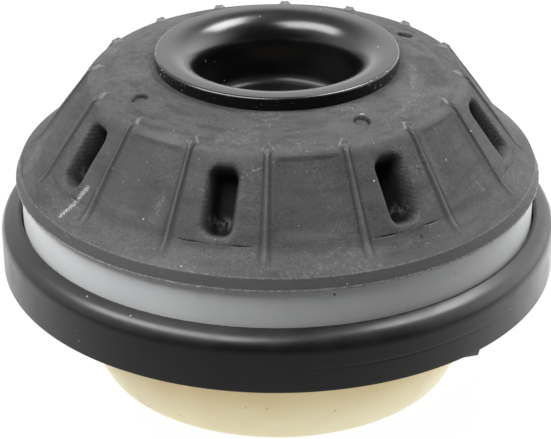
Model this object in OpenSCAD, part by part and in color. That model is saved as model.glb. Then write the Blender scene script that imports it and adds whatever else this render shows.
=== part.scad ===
// Strut mount: an elastomer cone with a pressed steel top cup, carried on a turning ball bearing.
// Millimetres, +Z up, origin on the axis at the lower end of the spring spigot.

/* [Steel cup] */
// Outer radius of the flat rim
rim_r = 32; // [29:0.5:38]
// Thickness of the pressed sheet
sheet_t = 3.5; // [2:0.25:4.5]
// Inner radius of the cup wall
cup_r = 21.2; // [17:0.1:23]
// Depth from the top of the rim to the cup floor
cup_depth = 18.5; // [14:0.5:21]
// Bend radius on the hidden side, between rim and wall
rim_bend_r = 4.25; // [1:0.25:4.5]
// Bend radius inside the cup, between wall and floor
floor_bend_r = 3; // [1.5:0.25:5]
// Radius of the hole for the damper rod
rod_r = 8.1; // [5:0.1:11]
// Edge rounding of the rim
rim_edge_r = 0.8; // [0.3:0.1:1.5]

/* [Rubber cone] */
// Rise of the top face from the shoulder to the rim
top_rise = 2.9; // [1:0.1:5]
// Flat margin of rubber around the rim
rim_margin = 1.5; // [0.5:0.25:3]
// Radial width of the sloping face
face_w = 14.4; // [11:0.1:17]
// Height of the sloping face
face_h = 19.5; // [16:0.5:24]
// Radial width of the brim below the face
brim_w = 5.4; // [3:0.1:7]
// Height of the brim
brim_h = 4.4; // [2:0.1:6]
// Height of the hanging lip
lip_h = 3.3; // [1.5:0.1:5]
// Radius that the lip gains towards its edge
lip_flare = 1.4; // [0.5:0.1:2.5]
// Overhang of the lip past the bearing cap
lip_over = 1.5; // [0.8:0.1:3]
// Rounding of the shoulder
shoulder_round_r = 4; // [1:0.5:6]

/* [Ribs and pockets] */
// Number of ribs on the sloping face
rib_n = 16; // [8:2:20]
// Direction of the first rib, in degrees
rib_az = 19.7; // [0:0.1:22.5]
// Width of a rib
rib_w = 1; // [0.6:0.1:2.5]
// Height of a rib above the rubber
rib_rise = 0.6; // [0.4:0.1:1.2]
// Length of a rib on the brim
rib_brim_l = 4.3; // [2:0.1:5.5]
// Height of the nib at the top of a rib
nib_rise = 1.3; // [1:0.1:2]
// Reach of the nib to each side of the shoulder
nib_l = 1.8; // [1:0.1:3]
// Width of a pocket
pocket_w = 7; // [5:0.2:9]
// Length of a pocket along the slope
pocket_l = 17; // [12:0.5:19]
// Depth of a pocket, square to the slope
pocket_depth = 7; // [3:0.5:9]
// Radius of the dished mouth around a pocket
mouth_r = 9; // [7:0.5:14]
// Depth of the dished mouth
mouth_depth = 1.1; // [0.5:0.1:1.8]
// Distance of a pocket's middle below the shoulder, along the slope
pocket_drop = 12.4; // [11:0.1:13.5]
// Radius of a dimple in the top face
dimple_r = 2; // [1:0.25:3]
// Depth of a dimple
dimple_depth = 1.3; // [0.5:0.1:2.5]
// Distance of the dimples inside the shoulder
dimple_inset = 8.2; // [6:0.1:10]

/* [Bearing caps] */
// Outer radius of the upper cap
cap_r = 68.4; // [64:0.2:74]
// Wall of the upper cap's outer skirt
cap_skirt_t = 1.5; // [1:0.1:2.5]
// Wall of the upper cap around the rubber
cap_rim_t = 3; // [2:0.1:4.5]
// Thickness of the upper cap's plate
cap_plate_t = 3.3; // [2.5:0.1:6]
// Height of the upper cap's rim above its plate
cap_rim_h = 3.9; // [2:0.1:6]
// Height of the collar inside the rubber, above the plate
collar_h = 9.5; // [7:0.25:11]
// Wall of the collar
collar_t = 3; // [2:0.25:4]
// Width of the plate inside the bearing's inner skirt
plate_in_w = 8.8; // [6:0.2:11]
// Wall of the upper cap's inner skirt
inner_skirt_t = 2.5; // [1.5:0.25:3.5]
// Height of the skirts' lower ends above the lower flange
skirt_gap = 1.4; // [0.6:0.1:2]
// Thickness of the lower cap's flange
flange_t = 4; // [3:0.25:6]
// Radial width of the flange outside the spigot
flange_w = 6.5; // [4.5:0.1:8]
// Height of the lower cap's inner rim above the flange
inner_rim_h = 3.5; // [2.5:0.1:4.5]
// Wall of the lower cap's inner rim
inner_rim_t = 2; // [1.25:0.25:3]

/* [Spring seat and spigot] */
// Height of the spring face above the spigot's lower end
spigot_h = 30.1; // [20:0.1:45]
// Radius that the spigot loses towards its lower end
spigot_taper = 14.6; // [8:0.2:17]
// Wall of the spigot
spigot_t = 3.5; // [2.5:0.25:5]
// Rounding of the spigot's lower end
spigot_round_r = 2; // [0.5:0.25:2.5]
// Height of the seat ring above the spring face
seat_h = 16.8; // [12:0.1:18]
// Thickness of the seat ring under the flange
seat_floor_t = 5.9; // [3:0.1:7]
// Width of the seat ring's crest
seat_crest_w = 5.5; // [5.5:0.1:9]
// Wall of the seat ring outside the flange
seat_wall_t = 4.5; // [4:0.1:5]
// Fall of the crest towards its outer edge
crest_fall = 2; // [0:0.1:4.5]
// Outer rounding of the crest
crest_round_r = 4; // [2:0.1:4.2]
// Inner rounding of the crest
crest_inner_r = 0.8; // [0.4:0.1:1.4]
// Rounding of the seat ring's lower edge
seat_edge_r = 0.7; // [0.3:0.1:1.5]
// Direction of the spring end stop, in degrees
stop_az = 317; // [0:1:359]
// Length of the ramp behind the end stop's face
stop_l = 15; // [8:0.5:20]
// Radial width of the spring end stop
stop_w = 4.5; // [3:0.25:8]
// Depth of the spring end stop below the spring face
stop_h = 3.2; // [2:0.1:8]
// Slant of the end stop's face
stop_slant = 2; // [0:0.25:3]

/* [Ball bearing] */
// Number of balls
ball_n = 40; // [24:1:42]
// Diameter of a ball
ball_d = 5.5; // [4.5:0.1:6]
// Radial width of the upper race
race_w = 8; // [7:0.1:9]
// Thickness of a race under its groove
race_floor_t = 1.2; // [0.8:0.1:2]
// Depth of the ball groove in a race
groove_depth = 1.4; // [0.8:0.1:1.6]
// Radial width of the ball cage
cage_w = 7; // [6.6:0.1:7.4]
// Height of the inner seal
seal_h = 3; // [2:0.25:4]
// Thickness of the inner seal at its root
seal_t = 0.6; // [0.4:0.1:0.9]

/* [Clearances] */
// Room between a ball and the bottom of its groove
ball_gap = 0.15; // [0.05:0.05:0.3]
// Room between a ball and its cage pocket
pocket_gap = 0.15; // [0.05:0.05:0.3]
// Room between the cage and the races
cage_gap = 0.35; // [0.2:0.05:0.5]
// Fit between a race and the cap that holds it
race_fit = 0.1; // [0.05:0.05:0.2]
// Running room beside the turning races
run_gap = 0.5; // [0.3:0.1:0.8]
// Running room between the seat ring and the upper cap
lip_gap = 0.5; // [0.3:0.1:1]
// Radial room for the inner seal
seal_room = 1.4; // [1.2:0.1:2]
// Running room at the tip of the inner seal
seal_gap = 0.3; // [0.2:0.05:0.4]
// Fit between the rubber and the upper cap
rubber_fit = 0.2; // [0.1:0.05:0.4]

/* [Hidden] */
$fn = 96;
ball_r = ball_d / 2;
groove_r = ball_r + 2 * ball_gap;

// Radii, from the upper cap outwards and inwards
cap_in_r = cap_r - cap_skirt_t;
cap_rim_in_r = cap_r - cap_rim_t;
seat_lip_r = cap_r + lip_gap;
seat_r = seat_lip_r + seat_crest_w;
flange_r = seat_r - seat_wall_t;
spigot_r = flange_r - flange_w;
spigot_end_r = spigot_r - spigot_taper;
upper_race_r = cap_in_r - race_fit;
lower_race_r = cap_in_r - run_gap;
race_in_r = upper_race_r - race_w;
pitch_r = upper_race_r - race_w / 2;
inner_rim_r = race_in_r - race_fit;
inner_rim_in_r = inner_rim_r - inner_rim_t;
inner_skirt_r = inner_rim_in_r - seal_room;
inner_skirt_in_r = inner_skirt_r - inner_skirt_t;
collar_in_r = inner_skirt_in_r - plate_in_w;
collar_r = collar_in_r + collar_t;

// Heights, from the spigot's lower end upwards
spring_z = spigot_h;
flange_z = spring_z + seat_floor_t;
race_seat_z = flange_z + flange_t;
ball_z = race_seat_z + race_floor_t + ball_gap + ball_r;
plate_z = ball_z + ball_r + ball_gap + race_floor_t;
plug_z = plate_z + cap_plate_t;
cap_top_z = plug_z + cap_rim_h;
collar_top_z = plug_z + collar_h;
skirt_z = race_seat_z + skirt_gap;
seat_top_z = spring_z + seat_h;
inner_rim_z = race_seat_z + inner_rim_h;
race_t = race_floor_t + groove_depth;
cage_z0 = race_seat_z + race_t + cage_gap;
cage_z1 = plate_z - race_t - cage_gap;

// Outline of the rubber, from its lip upwards
lip_r = cap_r + lip_over;
crease_r = lip_r - lip_flare;
crease_z = cap_top_z + lip_h;
foot_r = crease_r - brim_w;
foot_z = crease_z + brim_h;
shoulder_r = foot_r - face_w;
shoulder_z = foot_z + face_h;
rim_z = shoulder_z + top_rise;
rubber_bore_r = collar_r + rubber_fit;
plug_r = cap_rim_in_r - rubber_fit;

// Outline of the cup
rim_top_z = rim_z + sheet_t;
cup_out_r = cup_r + sheet_t;
lip_bend_r = min(rim_bend_r, rim_r - cup_out_r - 2 * rim_edge_r);
lip_c_r = cup_out_r + lip_bend_r;
lip_c_z = rim_z - lip_bend_r;
floor_z = rim_top_z - cup_depth;
floor_c_r = cup_r - floor_bend_r;
floor_c_z = floor_z + floor_bend_r;

// Slope of the sloping face, measured from the axis
slope_l = norm([face_w, face_h]);
slope_a = atan2(face_w, face_h);
// Depth to which a cut or a root reaches past a face
overlap = 1;
// Share by which a corner cut reaches out past its corner
spill = 1.1;

function unit(v) = v / norm(v);
// Direction a quarter turn to the left of v
function left_of(v) = [-v[1], v[0]];
function ball_name(i) = str("ball_", i < 10 ? "0" : "", i);
// Height of the top face at a given radius
function top_z(r) = shoulder_z + top_rise * (shoulder_r - r) / (shoulder_r - rim_r - rim_margin);

// Sliver between the corner p and an arc of radius r that touches the lines to a and b
module corner_sliver(a, p, b, r) {
    ua = unit(a - p);
    ub = unit(b - p);
    half = acos(ua * ub) / 2;
    reach = r / tan(half);
    centre = p + unit(ua + ub) * r / sin(half);
    translate(centre) difference() {
        polygon([
            [0, 0],
            spill * (p + ua * reach - centre),
            spill * (p - centre),
            spill * (p + ub * reach - centre)
        ]);
        circle(r);
    }
}

// Outline with the corners listed as [index, radius] rounded
module rounded_outline(pts, corners) {
    n = len(pts);
    difference() {
        polygon(pts);
        for (c = corners)
            corner_sliver(pts[(c[0] + n - 1) % n], pts[c[0]], pts[(c[0] + 1) % n], c[1]);
    }
}

// Quarter of a bent sheet, on the side of its centre given by the signs sx and sz
module sheet_bend(r_in, sx, sz) {
    r_out = r_in + sheet_t;
    intersection() {
        difference() {
            circle(r_out);
            circle(r_in);
        }
        translate([min(0, sx * r_out), min(0, sz * r_out)]) square(r_out);
    }
}

// Places its children on the sloping face, a distance down from the shoulder, with Z square to the slope
module on_slope(az, down) {
    rotate(az)
        translate([shoulder_r + down * sin(slope_a), 0, shoulder_z - down * cos(slope_a)])
            rotate([0, 90 - slope_a, 0]) children();
}

module steel_cup() {
    rim = [
        [lip_c_r, rim_z],
        [rim_r, rim_z],
        [rim_r, rim_top_z],
        [lip_c_r, rim_top_z]
    ];
    color("#1b1c1d") rotate_extrude() {
        rounded_outline(rim, [[1, rim_edge_r], [2, rim_edge_r]]);
        translate([lip_c_r, lip_c_z]) sheet_bend(lip_bend_r, -1, 1);
        translate([cup_r, floor_c_z]) square([sheet_t, lip_c_z - floor_c_z]);
        translate([floor_c_r, floor_c_z]) sheet_bend(floor_bend_r, 1, -1);
        translate([rod_r, floor_z - sheet_t]) square([floor_c_r - rod_r, sheet_t]);
    }
}

module rubber_body() {
    outline = [
        [rubber_bore_r, plug_z],
        [plug_r, plug_z],
        [plug_r, cap_top_z],
        [lip_r, cap_top_z],
        [crease_r, crease_z],
        [foot_r, foot_z],
        [shoulder_r, shoulder_z],
        [rim_r + rim_margin, rim_z],
        [cup_out_r, rim_z],
        [cup_out_r, floor_c_z],
        [rubber_bore_r, collar_top_z + rubber_fit]
    ];
    rotate_extrude() rounded_outline(outline, [[6, shoulder_round_r], [8, lip_bend_r]]);
}

// Fin down the sloping face and the brim, with a nib at the shoulder; its lower end runs out into the brim
module rib() {
    shoulder = [shoulder_r, shoulder_z];
    foot = [foot_r, foot_z];
    down_face = unit(foot - shoulder);
    down_brim = unit([crease_r, crease_z] - foot);
    along_top = unit(shoulder - [rim_r + rim_margin, rim_z]);
    off_face = left_of(down_face);
    off_nib = unit(off_face + left_of(along_top));
    off_foot = unit(off_face + left_of(down_brim));
    side = [
        shoulder - nib_l * along_top,
        shoulder + nib_rise * off_nib,
        shoulder + nib_l * down_face + rib_rise * off_face,
        foot + rib_rise * off_foot,
        foot + rib_brim_l * down_brim,
        foot - overlap * off_foot,
        shoulder - (overlap + shoulder_round_r) * off_nib
    ];
    rotate([90, 0, 0]) linear_extrude(rib_w, center = true) polygon(side);
}

// Deep slot with round ends and a wider dished mouth
module pocket() {
    straight = pocket_l - pocket_w;
    translate([0, 0, -pocket_depth]) linear_extrude(pocket_depth + mouth_r) {
        translate([-straight / 2, -pocket_w / 2]) square([straight, pocket_w]);
        for (s = [-1, 1]) translate([s * straight / 2, 0]) circle(pocket_w / 2);
    }
    translate([-straight / 2, 0, mouth_r - mouth_depth]) {
        rotate([0, 90, 0]) cylinder(r = mouth_r, h = straight);
        sphere(mouth_r);
        translate([straight, 0, 0]) sphere(mouth_r);
    }
}

module rubber_cone() {
    rib_step = 360 / rib_n;
    dimple_at = shoulder_r - dimple_inset;
    color("#4b4d4e") difference() {
        union() {
            rubber_body();
            for (i = [0 : rib_n - 1]) rotate(rib_az + i * rib_step) rib();
        }
        for (i = [0 : 2 : rib_n - 1]) on_slope(rib_az + (i + 0.5) * rib_step, pocket_drop) pocket();
        for (i = [0 : 4 : rib_n - 1])
            rotate(rib_az + (i + 0.5) * rib_step)
                translate([dimple_at, 0, top_z(dimple_at) - dimple_depth])
                    cylinder(r = dimple_r, h = dimple_depth + overlap);
    }
}

module upper_cap() {
    color("#c6c9c8") rotate_extrude() polygon([
        [collar_in_r, plate_z],
        [inner_skirt_in_r, plate_z],
        [inner_skirt_in_r, skirt_z],
        [inner_skirt_r, skirt_z],
        [inner_skirt_r, plate_z],
        [cap_in_r, plate_z],
        [cap_in_r, skirt_z],
        [cap_r, skirt_z],
        [cap_r, cap_top_z],
        [cap_rim_in_r, cap_top_z],
        [cap_rim_in_r, plug_z],
        [collar_r, plug_z],
        [collar_r, collar_top_z],
        [collar_in_r, collar_top_z]
    ]);
}

// Ring of a given section with the ball groove cut into it
module grooved_ring(r_in, r_out, z, h) {
    rotate_extrude() difference() {
        translate([r_in, z]) square([r_out - r_in, h]);
        translate([pitch_r, ball_z]) circle(groove_r);
    }
}

module upper_race() {
    color("#b9bcc0") grooved_ring(race_in_r, upper_race_r, plate_z - race_t, race_t);
}

module lower_race() {
    color("#b9bcc0") grooved_ring(race_in_r, lower_race_r, race_seat_z, race_t);
}

module inner_seal() {
    color("#2e2f30") rotate_extrude() polygon([
        [inner_skirt_r, skirt_z],
        [inner_rim_in_r - seal_gap, skirt_z],
        [inner_skirt_r + seal_t, skirt_z + seal_h],
        [inner_skirt_r, skirt_z + seal_h]
    ]);
}

// Places its children at the centre of ball i
module at_ball(i) {
    rotate((i - 1) * 360 / ball_n) translate([pitch_r, 0, ball_z]) children();
}

module ball_cage() {
    color("#e9e6dc") difference() {
        rotate_extrude() translate([pitch_r - cage_w / 2, cage_z0]) square([cage_w, cage_z1 - cage_z0]);
        for (i = [1 : ball_n])
            at_ball(i) cylinder(r = ball_r + pocket_gap, h = ball_d, center = true);
    }
}

module ball(i) {
    color("#d4d6d8") at_ball(i) sphere(ball_r);
}

module lower_cap() {
    outline = [
        [spigot_end_r - spigot_t, 0],
        [spigot_end_r, 0],
        [spigot_r, spring_z],
        [spigot_r, flange_z],
        [flange_r, flange_z],
        [flange_r, race_seat_z],
        [inner_rim_r, race_seat_z],
        [inner_rim_r, inner_rim_z],
        [inner_rim_in_r, inner_rim_z],
        [inner_rim_in_r, flange_z],
        [spigot_r - spigot_t, flange_z],
        [spigot_r - spigot_t, spring_z]
    ];
    color("#e4d8b2") rotate_extrude() rounded_outline(outline, [[1, spigot_round_r]]);
}

// Ramp under the spring face that ends in a stop for the coil's end
module end_stop() {
    run = stop_l - stop_slant;
    side = [
        [-stop_slant, -stop_h],
        [stop_slant * overlap / stop_h, overlap],
        [-stop_l - run * overlap / stop_h, overlap]
    ];
    rotate(stop_az)
        translate([(spigot_r + seat_r - stop_w) / 2, 0, spring_z])
            rotate([90, 0, 90]) linear_extrude(stop_w) polygon(side);
}

module spring_seat() {
    outline = [
        [spigot_r, spring_z],
        [seat_r, spring_z],
        [seat_r, seat_top_z - crest_fall],
        [seat_lip_r, seat_top_z],
        [seat_lip_r, race_seat_z],
        [flange_r, race_seat_z],
        [flange_r, flange_z],
        [spigot_r, flange_z]
    ];
    rounds = [[1, seat_edge_r], [2, crest_round_r], [3, crest_inner_r]];
    color("#27282a") {
        rotate_extrude() rounded_outline(outline, rounds);
        end_stop();
    }
}

steel_cup();
rubber_cone();
upper_cap();
upper_race();
inner_seal();
ball_cage();
lower_race();
lower_cap();
spring_seat();
for (i = [1 : ball_n]) ball(i);
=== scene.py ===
import math
import bpy
import numpy as np
from mathutils import Matrix, Quaternion, Vector


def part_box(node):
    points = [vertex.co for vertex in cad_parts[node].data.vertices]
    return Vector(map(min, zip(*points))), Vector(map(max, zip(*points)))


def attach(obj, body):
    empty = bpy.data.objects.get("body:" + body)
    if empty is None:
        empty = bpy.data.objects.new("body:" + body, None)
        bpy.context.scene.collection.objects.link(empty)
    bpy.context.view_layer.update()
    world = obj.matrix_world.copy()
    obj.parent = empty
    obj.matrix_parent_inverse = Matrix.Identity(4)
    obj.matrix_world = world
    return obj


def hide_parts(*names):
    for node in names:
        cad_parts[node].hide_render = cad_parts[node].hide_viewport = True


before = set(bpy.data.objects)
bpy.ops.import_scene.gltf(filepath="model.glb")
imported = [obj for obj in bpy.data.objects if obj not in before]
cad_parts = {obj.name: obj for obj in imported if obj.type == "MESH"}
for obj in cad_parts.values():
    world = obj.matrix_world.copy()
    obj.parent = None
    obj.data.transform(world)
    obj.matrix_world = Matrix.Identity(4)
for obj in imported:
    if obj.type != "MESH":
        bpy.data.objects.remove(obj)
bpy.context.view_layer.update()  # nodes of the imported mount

mm = 0.001
print("frame loaded,", len(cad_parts), "nodes")


# highest radius, lowest and highest height of a node, in mm
def nodeSpan(name):
    low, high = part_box(name)
    return high[0] / mm, low[2] / mm, high[2] / mm


# soft step from 0 at low to 1 at high
def smooth(low, high, x):
    t = np.clip((x - low) / (high - low), 0.0, 1.0)
    return t * t * (3.0 - 2.0 * t)


# soft hump of height 1 around a middle
def hump(x, middle, width):
    return np.exp(-((x - middle) / width) ** 2)


# closed section in mm, counter-clockwise; each corner is radius, height, rounding
def roundOutline(corners, arcSteps=5):
    points = []
    for i, (r, z, rounding) in enumerate(corners):
        here = np.array([r, z])
        back = np.array(corners[i - 1][:2]) - here
        ahead = np.array(corners[(i + 1) % len(corners)][:2]) - here
        back = back / np.linalg.norm(back)
        ahead = ahead / np.linalg.norm(ahead)
        if rounding <= 0:
            points.append(here)
            continue
        half = math.acos(float(np.clip(back @ ahead, -1, 1))) / 2
        inward = (back + ahead) / np.linalg.norm(back + ahead)
        centre = here + inward * rounding / math.sin(half)
        start = here + back * rounding / math.tan(half) - centre
        end = here + ahead * rounding / math.tan(half) - centre
        first = math.atan2(start[1], start[0])
        sweep = (math.atan2(end[1], end[0]) - first + math.pi) % (2 * math.pi) - math.pi
        for k in range(arcSteps + 1):
            a = first + sweep * k / arcSteps
            points.append(centre + rounding * np.array([math.cos(a), math.sin(a)]))
    return np.array(points)


# extra points along a section, at most stepAt(radius, height) apart
def resample(outline, stepAt):
    points = []
    for a, b in zip(outline, np.roll(outline, -1, axis=0)):
        middle = (a + b) / 2
        count = max(1, math.ceil(np.linalg.norm(b - a) / stepAt(middle[0], middle[1])))
        points += [a + (b - a) * k / count for k in range(count)]
    return np.array(points)


# unit normals of a closed section, pointing out of the solid
def outlineNormals(outline):
    along = np.roll(outline, -1, axis=0) - np.roll(outline, 1, axis=0)
    out = np.stack([along[:, 1], -along[:, 0]], axis=1)
    return out / np.linalg.norm(out, axis=1, keepdims=True)


ringSteps = 224  # faces round a plain ring


def evenAngles(count=ringSteps):
    return np.linspace(0.0, 2 * math.pi, count, endpoint=False)


# turns a section into a ring; lift is a height off the surface for each point and angle
def ringMesh(name, outline, angles, lift=None, sharp=38):
    rings = np.repeat(outline[:, None, :], len(angles), axis=1)
    if lift is not None:
        rings = rings + outlineNormals(outline)[:, None, :] * lift[:, :, None]
    x = rings[..., 0] * np.cos(angles)
    y = rings[..., 0] * np.sin(angles)
    points = np.stack([x, y, rings[..., 1]], axis=-1).reshape(-1, 3) * mm
    m, n = len(outline), len(angles)
    i, j = np.arange(m)[:, None], np.arange(n)[None, :]
    iNext, jNext = (i + 1) % m, (j + 1) % n
    quads = np.stack([i * n + j, i * n + jNext, iNext * n + jNext, iNext * n + j], axis=-1)
    mesh = bpy.data.meshes.new(name)
    mesh.from_pydata(points.tolist(), [], quads.reshape(-1, 4).tolist())
    mesh.shade_smooth()
    mesh.set_sharp_from_angle(angle=math.radians(sharp))
    return mesh


def addPiece(name, mesh, finish, body, slotName, *nodes):
    piece = bpy.data.objects.new(name, mesh)
    bpy.context.scene.collection.objects.link(piece)
    mesh.materials.append(finish)
    if nodes:
        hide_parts(*nodes)
    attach(piece, body)
    print("piece", name, len(mesh.polygons), "faces")
    return piece


# adds a shader node; feeds are constants or sockets, by input name or number
def put(tree, kind, setup=None, feeds=None):
    made = tree.nodes.new(kind)
    for key, value in (setup or {}).items():
        setattr(made, key, value)
    for key, value in (feeds or {}).items():
        if isinstance(value, bpy.types.NodeSocket):
            tree.links.new(value, made.inputs[key])
        else:
            made.inputs[key].default_value = value
    return made


def calc(tree, operation, a, b=0.0):
    return put(tree, "ShaderNodeMath", {"operation": operation}, {0: a, 1: b}).outputs[0]


def times(tree, a, b):
    return calc(tree, "MULTIPLY", a, b)


# maps a value range softly onto 0 to 1
def fade(tree, value, low, high):
    made = put(tree, "ShaderNodeMapRange", {"interpolation_type": "SMOOTHSTEP"}, {0: value, 1: low, 2: high})
    return made.outputs[0]


def blendColor(tree, factor, a, b):
    made = put(tree, "ShaderNodeMix", {"data_type": "RGBA"}, {0: factor, 6: a, 7: b})
    return made.outputs[2]


def grey(level, warm=0.0):
    return (level * (1 + warm), level, level * (1 - warm), 1.0)


def startGroup(name, inputs, outputs):
    tree = bpy.data.node_groups.new(name, "ShaderNodeTree")
    tree.interface.new_socket("Coord", in_out="INPUT", socket_type="NodeSocketVector")
    for label, value in inputs.items():
        kind = "NodeSocketVector" if isinstance(value, tuple) else "NodeSocketFloat"
        tree.interface.new_socket(label, in_out="INPUT", socket_type=kind).default_value = value
    for label in outputs:
        tree.interface.new_socket(label, in_out="OUTPUT", socket_type="NodeSocketFloat")
    return tree, tree.nodes.new("NodeGroupInput").outputs, tree.nodes.new("NodeGroupOutput").inputs


# scattered dots of dust or flecks
def buildSpecks():
    tree, given, result = startGroup("specks", {"Scale": 400, "Size": 0.2, "Share": 0.1}, ["Mask"])
    cells = put(tree, "ShaderNodeTexVoronoi", None, {"Vector": given["Coord"], "Scale": given["Scale"]})
    parts = put(tree, "ShaderNodeSeparateColor", None, {0: cells.outputs["Color"]})
    kept = calc(tree, "LESS_THAN", parts.outputs[0], given["Share"])
    reach = times(tree, given["Size"], calc(tree, "ADD", parts.outputs[1], 0.3))
    dot = calc(tree, "LESS_THAN", cells.outputs["Distance"], reach)
    tree.links.new(times(tree, kept, dot), result["Mask"])
    return tree


# cloudy patches from 0 to 1
def buildClouds():
    inputs = {"Scale": 60, "Low": 0.35, "High": 0.65, "Detail": 4}
    tree, given, result = startGroup("clouds", inputs, ["Factor"])
    noise = put(tree, "ShaderNodeTexNoise", None, {"Vector": given["Coord"], "Scale": given["Scale"],
                                                   "Detail": given["Detail"], "Roughness": 0.6})
    tree.links.new(fade(tree, noise.outputs[0], given["Low"], given["High"]), result["Factor"])
    return tree


# fine moulded grain as a height
def buildGrain():
    tree, given, result = startGroup("grain", {"Scale": 900}, ["Height"])
    coarse = put(tree, "ShaderNodeTexNoise", None,
                 {"Vector": given["Coord"], "Scale": given["Scale"], "Detail": 3, "Roughness": 0.65})
    fineScale = times(tree, given["Scale"], 3.7)
    fine = put(tree, "ShaderNodeTexNoise", None, {"Vector": given["Coord"], "Scale": fineScale, "Detail": 2})
    both = calc(tree, "ADD", coarse.outputs[0], times(tree, fine.outputs[0], 0.4))
    tree.links.new(both, result["Height"])
    return tree


# radius, height and turn around the axis, in mm and turns
def buildPolar():
    tree, given, result = startGroup("polar", {}, ["Radius", "Height", "Turn"])
    parts = put(tree, "ShaderNodeSeparateXYZ", None, {0: given["Coord"]}).outputs
    square = calc(tree, "ADD", calc(tree, "POWER", parts[0], 2.0), calc(tree, "POWER", parts[1], 2.0))
    tree.links.new(calc(tree, "DIVIDE", calc(tree, "SQRT", square), mm), result["Radius"])
    tree.links.new(calc(tree, "DIVIDE", parts[2], mm), result["Height"])
    turn = calc(tree, "DIVIDE", calc(tree, "ARCTAN2", parts[1], parts[0]), 2 * math.pi)
    tree.links.new(turn, result["Turn"])
    return tree


# ragged mark along a straight line between two places, in mm
def buildStroke():
    places = {"Start": (0.0, 0.0, 0.0), "End": (1.0, 0.0, 0.0), "Width": 0.5, "Ragged": 1.0}
    tree, given, result = startGroup("stroke", places, ["Mask"])

    def vector(operation, a, b=(0.0, 0.0, 0.0), scale=1.0):
        return put(tree, "ShaderNodeVectorMath", {"operation": operation}, {0: a, 1: b, 3: scale}).outputs

    here = vector("SCALE", given["Coord"], scale=1 / mm)[0]
    line = vector("SUBTRACT", given["End"], given["Start"])[0]
    reach = vector("SUBTRACT", here, given["Start"])[0]
    share = calc(tree, "DIVIDE", vector("DOT_PRODUCT", reach, line)[1], vector("DOT_PRODUCT", line, line)[1])
    share = put(tree, "ShaderNodeClamp", None, {0: share}).outputs[0]
    off = vector("LENGTH", vector("SUBTRACT", reach, vector("SCALE", line, scale=share)[0])[0])[1]
    noise = put(tree, "ShaderNodeTexNoise", None,
                {"Vector": here, "Scale": 2.6, "Detail": 4, "Roughness": 0.75})
    shake = times(tree, calc(tree, "SUBTRACT", noise.outputs[0], 0.45), given["Ragged"])
    near = calc(tree, "SUBTRACT", given["Width"], calc(tree, "ADD", off, times(tree, shake, 3.0)))
    tree.links.new(fade(tree, near, 0.0, 0.25), result["Mask"])
    return tree


specks, clouds, grain, polar, stroke = buildSpecks(), buildClouds(), buildGrain(), buildPolar(), buildStroke()
print("shared shader groups ready")


# a new finish with its shader and its object coordinates
def startFinish(name, **sockets):
    finish = bpy.data.materials.new(name)
    finish.use_nodes = True
    tree = finish.node_tree
    shader = tree.nodes["Principled BSDF"]
    for key, value in sockets.items():
        shader.inputs[key.replace("_", " ")].default_value = value
    coord = tree.nodes.new("ShaderNodeTexCoord").outputs["Object"]
    return finish, tree, shader, coord


# places a shared group in a finish and gives its outputs
def use(tree, group, coord, **values):
    made = put(tree, "ShaderNodeGroup", {"node_tree": group}, {"Coord": coord, **values})
    return made.outputs


def setBump(tree, shader, height, strength, depth):
    bump = put(tree, "ShaderNodeBump", None, {"Strength": strength, "Distance": depth * mm, "Height": height})
    tree.links.new(bump.outputs[0], shader.inputs["Normal"])


# a mask that is stored on the mesh
def meshMask(tree, name):
    return put(tree, "ShaderNodeAttribute", {"attribute_name": name}).outputs["Fac"]


# 0 and 1 become a low and a high value
def between(tree, factor, low, high):
    return put(tree, "ShaderNodeMapRange", None, {0: factor, 3: low, 4: high}).outputs[0]


rimR, cupLow, rimTop = nodeSpan("steel_cup")
seatR = nodeSpan("spring_seat")[0]
seatLow = 30.1  # height of the spring face, in mm


# moulded rubber with dust and scuffs, painted shade in the pockets, dimples and rib grooves, and painted
# highlights at the lip's edges
rubberLook = dict(
    # the pocket colour of 0.011 is painted shade; the smudge colour also paints shade into the rib grooves
    deep=grey(0.041), face=grey(0.066), bloom=grey(0.07), dust=grey(0.17), speck=grey(0.45), pit=grey(0.01),
    paintedPocketShade=grey(0.011), edge=grey(0.5), lip=grey(0.098), smudge=grey(0.026), rough=(0.5, 0.7), hollowRough=0.9,
    smear=dict(Radius=0.4, Turn=34.0, Height=0.3),  # how dark smears are drawn out round the axis
    brimR=(66.0, 68.0), lipTop=(58.9, 58.4), lipEdgeHighlight=(56.3, 55.7), creaseZ=58.65, creaseW=(0.3, 0.05),  # mm
)
rubberMarks = [  # start, end, width and raggedness of pale marks, in mm
    dict(Start=(-54.0, -38.7, 60.4), End=(-47.4, -37.1, 67.0), Width=1.0, Ragged=1.8),
    dict(Start=(-8.8, -52.0, 77.2), End=(-3.9, -50.9, 79.4), Width=0.25, Ragged=0.7),
    dict(Start=(-52.9, -43.8, 58.3), End=(-50.5, -48.1, 56.4), Width=0.22, Ragged=0.5),
    dict(Start=(20.7, -31.9, 84.6), End=(21.4, -31.7, 84.6), Width=0.35, Ragged=0.3),
    dict(Start=(-12.0, -51.3, 65.5), End=(-11.4, -51.6, 64.4), Width=1.0, Ragged=1.2),
    dict(Start=(27.0, -46.2, 65.2), End=(28.0, -46.0, 63.6), Width=0.5, Ragged=0.8),
]
rubberScars = [  # the same for dark crumbs
    dict(Start=(1.6, -40.6, 84.1), End=(7.7, -39.1, 84.3), Width=0.5, Ragged=1.6),
    dict(Start=(-42.9, -5.3, 83.6), End=(-37.1, -5.7, 84.7), Width=0.6, Ragged=4.0),
    dict(Start=(-40.5, 8.0, 84.2), End=(-34.5, 7.5, 85.2), Width=0.6, Ragged=4.0),
    dict(Start=(29.8, -30.9, 83.6), End=(34.6, -25.6, 83.8), Width=0.4, Ragged=2.4),
]
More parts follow.
